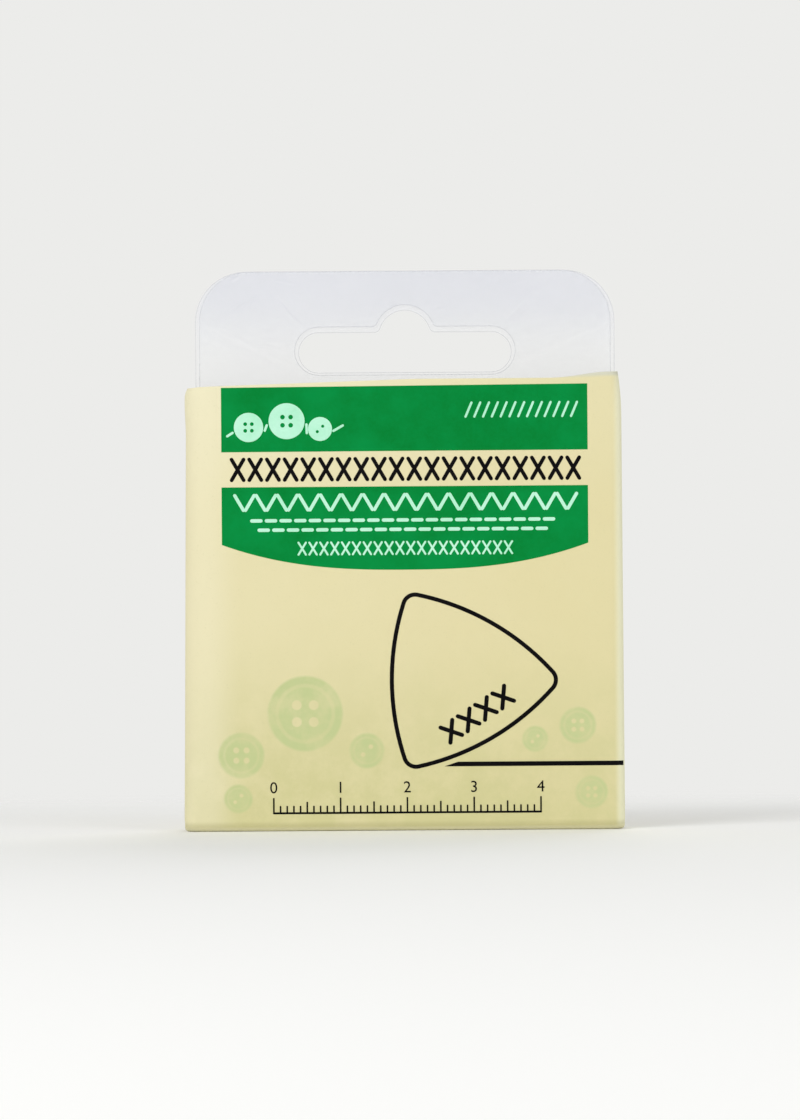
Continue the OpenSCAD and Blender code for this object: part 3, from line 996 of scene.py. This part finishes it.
class Solid:
    """A closed mesh made of rings of points at different depths, strips between them, and fills."""

    def __init__(self):
        self.points, self.faces, self.slots = [], [], []

    def ring(self, loop, y):
        """Adds a loop's points at a depth, and gives their numbers."""
        start = len(self.points)
        self.points += [Vector((x, y, z)) for x, z in loop]
        return list(range(start, len(self.points)))

    def strip(self, inner, outer, slot=0):
        """Adds a strip of faces between two rings."""
        for i in range(len(inner)):
            self.faces.append((inner[i - 1], outer[i - 1], outer[i], inner[i]))
            self.slots.append(slot)

    def fill(self, rings, back=False):
        """Adds the flat face between an outer ring and its holes, facing the front or the back."""
        flat = bmesh.new()
        order = [i for ring in rings for i in ring]
        fill_loops(flat, [[(self.points[i].x, self.points[i].z) for i in ring] for ring in rings])
        flat.normal_update()
        for face in flat.faces:
            corners = [order[v.index] for v in face.verts]
            if (face.normal.z < 0) != back:
                corners.reverse()
            self.faces.append(tuple(corners))
            self.slots.append(0)
        flat.free()

    def rims(self, loop, front_y, thickness):
        """A cut edge with its two small chamfers; gives the rings that the two faces start from."""
        chamfered, back_y = inset(loop, SHEET_RIM), front_y + thickness
        rings = [self.ring(chamfered, front_y), self.ring(loop, front_y + SHEET_RIM),
                 self.ring(loop, back_y - SHEET_RIM), self.ring(chamfered, back_y)]
        for a, b in zip(rings, rings[1:]):
            self.strip(a, b, 1)
        return rings[0], rings[-1]


def slot_loop(grow, rise):
    """The hang slot as a clockwise hole: round ends, and a round bump that blends into its upper edge."""
    cx, cz = TRAY_X, tab_high.z - SLOT_DROP + rise
    r = SLOT_R + grow
    bump = BUMP_R + grow
    end = SLOT_HALF_W - SLOT_R
    blend_z = r + BLEND_R - BUMP_RISE
    blend_x = sqrt((bump + BLEND_R) ** 2 - blend_z ** 2)
    turn = degrees(atan2(blend_z, blend_x))
    loop = arc(cx - end, cz, r, 270, 90, 16)
    loop += arc(cx - blend_x, cz + r + BLEND_R, BLEND_R, 270, 360 - turn, 6)
    loop += arc(cx, cz + BUMP_RISE, bump, 180 - turn, turn, 24)[1:-1]
    loop += arc(cx + blend_x, cz + r + BLEND_R, BLEND_R, 180 + turn, 270, 6)
    return loop + arc(cx + end, cz, r, 90, -90, 16)


def sheet_loop(low, high):
    """The outline of a sheet of the tray, anticlockwise."""
    return rounded([(low.x, low.z, TRAY_FOOT_R), (high.x, low.z, TRAY_FOOT_R),
                    (high.x, high.z, TAB_R), (low.x, high.z, TAB_R)])


def outline_turned(grow):
    """The chalk's outline in its place in the tray, point down."""
    turned = triangle_outline(0, 0, CHALK_SIDE, SIDE_R, CORNER_R, grow, 30)
    return [(TRAY_X + z, CHALK_Z - x) for x, z in turned]


def pad_loop():
    """The left pad's outline, anticlockwise: its inner side follows the chalk."""
    widest = min(outline_turned(NEST_GAP))[1]
    curve = [(x, z) for x, z in outline_turned(NEST_GAP) if x < pad_high.x and z <= widest]
    curve.sort(key=lambda p: p[1])
    wall_x = curve[-1][0]
    corners = [(pad_low.x, pad_low.z, PAD_CORNER_R), (pad_high.x, pad_low.z, PAD_CORNER_R),
               (pad_high.x, curve[0][1] - PAD_TOE_DROP, PAD_TOE_R)]
    corners += [(x, z, 0) for x, z in curve[1:]]
    corners += [(wall_x, pad_high.z, PAD_CORNER_R), (pad_low.x, pad_high.z, PAD_CORNER_R)]
    return rounded(corners)


def pad_profile(depth):
    """A pad's wall as insets and depths, from a soft root in the sheet to a soft crown."""
    root = [(-0.5, 0), (-0.25, -0.04), (-0.06, -0.18), (0, -0.5)]
    crown = [(0.06, 0.55), (0.12, 0.28), (0.28, 0.08), (0.55, 0)]
    return root + [(n, y - depth) for n, y in crown]


def behind(profile, thickness):
    """The back of a formed wall, whose front is a profile of insets and depths."""
    made = []
    for i, (n, y) in enumerate(profile):
        a, b = profile[max(i - 1, 0)], profile[min(i + 1, len(profile) - 1)]
        along = Vector((b[0] - a[0], b[1] - a[1])).normalized()
        made.append((n - along.y * thickness, y + along.x * thickness))
    return made


def press_pad(made, loop, front_y, thickness):
    """Presses a hollow pad forward out of the sheet; gives its root's rings, front and back."""
    front = pad_profile(front_y - pad_low.y)
    roots = []
    for profile, back in ((front, False), (behind(front, thickness), True)):
        rings = [made.ring(inset(loop, n), front_y + y) for n, y in profile]
        for outside, inside in zip(rings, rings[1:]):
            made.strip(*((outside, inside, 0) if back else (inside, outside, 2)))
        made.fill([rings[-1]], back)
        roots.append(rings[0])
    return roots


def tray():
    """The tray: one clear sheet with the hang slot and two hollow pads pressed forward out of it."""
    made = Solid()
    front_y, thickness = tab_low.y, tab_high.y - tab_low.y
    outer = made.rims(sheet_loop(nest_low, tab_high), front_y, thickness)
    hole = made.rims(slot_loop(SLOT_GROW, SLOT_SHIFT), front_y, thickness)
    left = pad_loop()
    right = [(2 * TRAY_X - x, z) for x, z in reversed(left)]
    pads = [press_pad(made, loop, front_y, thickness) for loop in (left, right)]
    fronts, backs = zip(outer, hole, *pads)
    made.fill(fronts)
    made.fill(backs, back=True)
    piece = mesh_object("formed_tray", made.points, made.faces, [SHEET, EDGE, BEND], made.slots)
    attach(piece, "tray")
    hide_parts("hang_tab", "nest_sheet", "left_pad", "right_pad")


def leaf():
    """The leaf folded up behind the tray, with its own smaller slot."""
    made = Solid()
    front_y, thickness = leaf_low.y, leaf_high.y - leaf_low.y
    outer = made.rims(sheet_loop(leaf_low, leaf_high), front_y, thickness)
    hole = made.rims(slot_loop(0, 0), front_y, thickness)
    made.fill([outer[0], hole[0]])
    made.fill([outer[1], hole[1]], back=True)
    piece = mesh_object("rear_leaf", made.points, made.faces, [SHEET, EDGE], made.slots)
    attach(piece, "tray")
    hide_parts("backing_leaf")


# The chalk

def depth_inside(x, z):
    """How far a place of the chalk, from its middle, lies inside its nearest side."""
    inside = []
    for k in range(3):
        cx, cz = polar(0, 0, ARC_CENTRE_D, -90 + 120 * k)
        inside.append(SIDE_R - hypot(x - cx, z - cz))
    return min(inside)


def chalk_height(x, z):
    """Half the chalk's thickness at a place from its middle, worn a little towards its edge."""
    inside = depth_inside(x, z)
    full = chalk_high.y - CHALK_Y
    bevel = EDGE_T / 2 + (full - EDGE_T / 2) / BEVEL_W * inside
    flat, softness = full - 0.02, 0.02
    height = (bevel + flat - sqrt((bevel - flat) ** 2 + softness)) / 2
    height -= DISH_T * smooth(DISH_R + 0.3, DISH_R - 0.4, hypot(x, z))
    worn = max(0, wave(x, z, 5.5, 21)) * 0.12 + max(0, wave(x, z, 1.6, 4)) * 0.05
    grain = 0.015 * (1 + wave(x, z, 0.9, 9))
    return height - worn * smooth(4.5, 0, inside) - grain


def chalk_wear(x, z):
    """How much paler the chalk is at a place, partly from rubbing and partly as painted highlight: along
    its edge, its ridge and the rim of its dish.
    """
    inside = depth_inside(x, z)
    edge_w, ridge_w, rim_w, rim_r = 1.4, 0.7, 0.5, DISH_R + 0.2
    edge = smooth(edge_w, 0, inside)
    ridge = max(0, 1 - abs(inside - BEVEL_W) / ridge_w)
    rim = max(0, 1 - abs(hypot(x, z) - rim_r) / rim_w)
    return min(1, 0.8 * edge + 0.75 * ridge + 0.6 * rim)


def face_shares():
    """How far out each ring of a chalk's face lies: closest at the dish's rim, the ridge and the edge."""
    dish = [0.2 + 0.013 * k for k in range(10)]
    bevel = [0.34 + 0.0155 * k for k in range(40)]
    return [0.08, 0.16] + dish + bevel + [0.955, 0.968, 0.98, 0.99, 0.996]


def chalk_ring(made, rub_and_highlight, spots, side):
    """Adds a face's points at places round the chalk's middle, and gives their numbers."""
    rub_and_highlight += [chalk_wear(x, z) for x, z in spots]
    start = len(made.points)
    made.points += [Vector((CHALK_X + x, CHALK_Y + side * chalk_height(x, z), CHALK_Z + z))
                    for x, z in spots]
    return list(range(start, len(made.points)))


def chalk_face(made, rub_and_highlight, rim, side):
    """One face of the chalk, from its middle out; side is -1 for its front and 1 for its back."""
    rings = [chalk_ring(made, rub_and_highlight, [(x * share, z * share) for x, z in rim], side)
             for share in face_shares()]
    centre = chalk_ring(made, rub_and_highlight, [(0, 0)], side)[0]
    for i in range(len(rim)):
        a, b = rings[0][i - 1], rings[0][i]
        made.faces.append((centre, a, b) if side < 0 else (centre, b, a))
    for inside, outside in zip(rings, rings[1:]):
        made.strip(*((inside, outside) if side < 0 else (outside, inside)))
    return rings[-1]


def chalk():
    """The pressed chalk: two bevelled faces, each with a dish, and a worn writing edge."""
    rim = [(x - CHALK_X, z - CHALK_Z) for x, z in outline_turned(0)]
    made, rub_and_highlight = Solid(), []
    rims = [chalk_face(made, rub_and_highlight, rim, side) for side in (-1, 1)]
    band = made.ring([(CHALK_X + x, CHALK_Z + z) for x, z in rim], CHALK_Y)
    # The side band is palest: rubbing and painted highlight.
    rub_and_highlight += [1] * len(band)
    made.strip(rims[0], band)
    made.strip(band, rims[1])
    piece = mesh_object("pressed_chalk", made.points, made.faces, [CHALK], sharp=70)
    # The point attribute carries the paler edge, ridges and dish rim: rubbing and painted highlight.
    layer = piece.data.attributes.new("rub_and_highlight", "FLOAT", "POINT")
    layer.data.foreach_set("value", rub_and_highlight)
    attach(piece, "chalk")
    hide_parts("chalk")


def dress(name, material):
    """Gives a CAD node that keeps its shape its own material."""
    mesh = frame["nodes"][name].data
    mesh.materials.clear()
    mesh.materials.append(material)
    mesh.polygons.foreach_set("material_index", [0] * len(mesh.polygons))


# The stage

def camera():
    """The photograph's view: square on, from a little way off."""
    data = bpy.data.cameras.new("photo_view")
    data.sensor_fit = "VERTICAL"
    data.sensor_height = SENSOR
    data.lens = SENSOR * CAMERA_D / (PHOTO_H / PX_PER_MM)
    data.clip_start = 0.01
    data.clip_end = 20
    spot = add_object("photo_view", data)
    spot.matrix_world = (Matrix.Translation(Vector((VIEW_X, FRONT_Y - CAMERA_D, VIEW_Z)) * MM)
                         @ Matrix.Rotation(radians(90), 4, "X") @ Matrix.Rotation(-ROLL, 4, "Z"))
    bpy.context.scene.camera = spot


def floor_material():
    """A pale matt floor that is clear far to the sides and behind."""
    s = Shader("pale_floor", 0.85, Specular_IOR_Level=0.1)
    s.set(Base_Color=srgb(252, 252, 250))
    aside = s.ramp(s.math("ABSOLUTE", s.x), 60, 400)
    fade = s.math("MAXIMUM", aside, s.ramp(s.y, 10, 160))
    clear = s.node("BsdfTransparent").outputs[0]
    faded = s.node("MixShader", None, (fade, s.principled.outputs[0], clear)).outputs[0]
    put(s.tree, s.tree.nodes["Material Output"].inputs["Surface"], faded)
    return s.material


def ground():
    """A pale floor that fades into the backdrop's colour, and keeps the packet's shadow."""
    rings, count = 12, 24
    points = [(0, 0, FLOOR_Z)]
    for ring in range(1, rings + 1):
        r = FLOOR_R * (ring / rings) ** 1.5
        points += [(x, y, FLOOR_Z) for x, y in disc(0, 0, r, count)]
    faces = [(0, 1 + k, 1 + (k + 1) % count) for k in range(count)]
    for first in range(1, 1 + (rings - 1) * count, count):
        for k in range(count):
            a, b = first + k, first + (k + 1) % count
            faces.append((a, a + count, b + count, b))
    mesh_object("pale_floor", points, faces, [floor_material()])


def world():
    """Even pale surroundings: one colour for the camera and for reflections, one for the light."""
    made = bpy.data.worlds.new("studio")
    made.use_nodes = True
    tree = made.node_tree
    tree.nodes.clear()
    path = add_node(tree, "LightPath")
    seen = path.outputs["Is Camera Ray"]
    for ray in ("Is Glossy Ray", "Is Transmission Ray"):
        seen = add_node(tree, "Math", {"operation": "MAXIMUM"}, (seen, path.outputs[ray])).outputs[0]
    light = add_node(tree, "Background", Color=(1, 1, 1, 1), Strength=WORLD_LIGHT).outputs[0]
    backdrop = add_node(tree, "Background", Color=srgb(236, 236, 234), Strength=1).outputs[0]
    surroundings = add_node(tree, "MixShader", None, (seen, light, backdrop)).outputs[0]
    add_node(tree, "OutputWorld", Surface=surroundings)
    bpy.context.scene.world = made


def lamp(name, place, size, watts):
    """A square soft light, turned to the packet."""
    data = bpy.data.lights.new(name, "AREA")
    data.shape = "SQUARE"
    data.size = size * MM
    data.energy = watts
    spot = add_object(name, data)
    spot.location = Vector(place) * MM
    aim = Vector((0, 0, 40)) * MM - spot.location
    spot.rotation_euler = aim.to_track_quat("-Z", "Y").to_euler()


def lights():
    """A key light from the upper left, a weaker one from the right and one from behind."""
    lamp("key", (-520, -640, 520), 500, 3.7)
    lamp("fill", (560, -640, 240), 600, 1.9)
    lamp("rear", (200, 700, 600), 600, 2.0)


camera()
sleeve()
bands()
drawing()
stitch_rows()
buttons()
ruler()
tray()
leaf()
chalk()
dress("bottom_fold", SHEET)
ground()
world()
lights()

bpy.context.scene.view_settings.view_transform = "Standard"
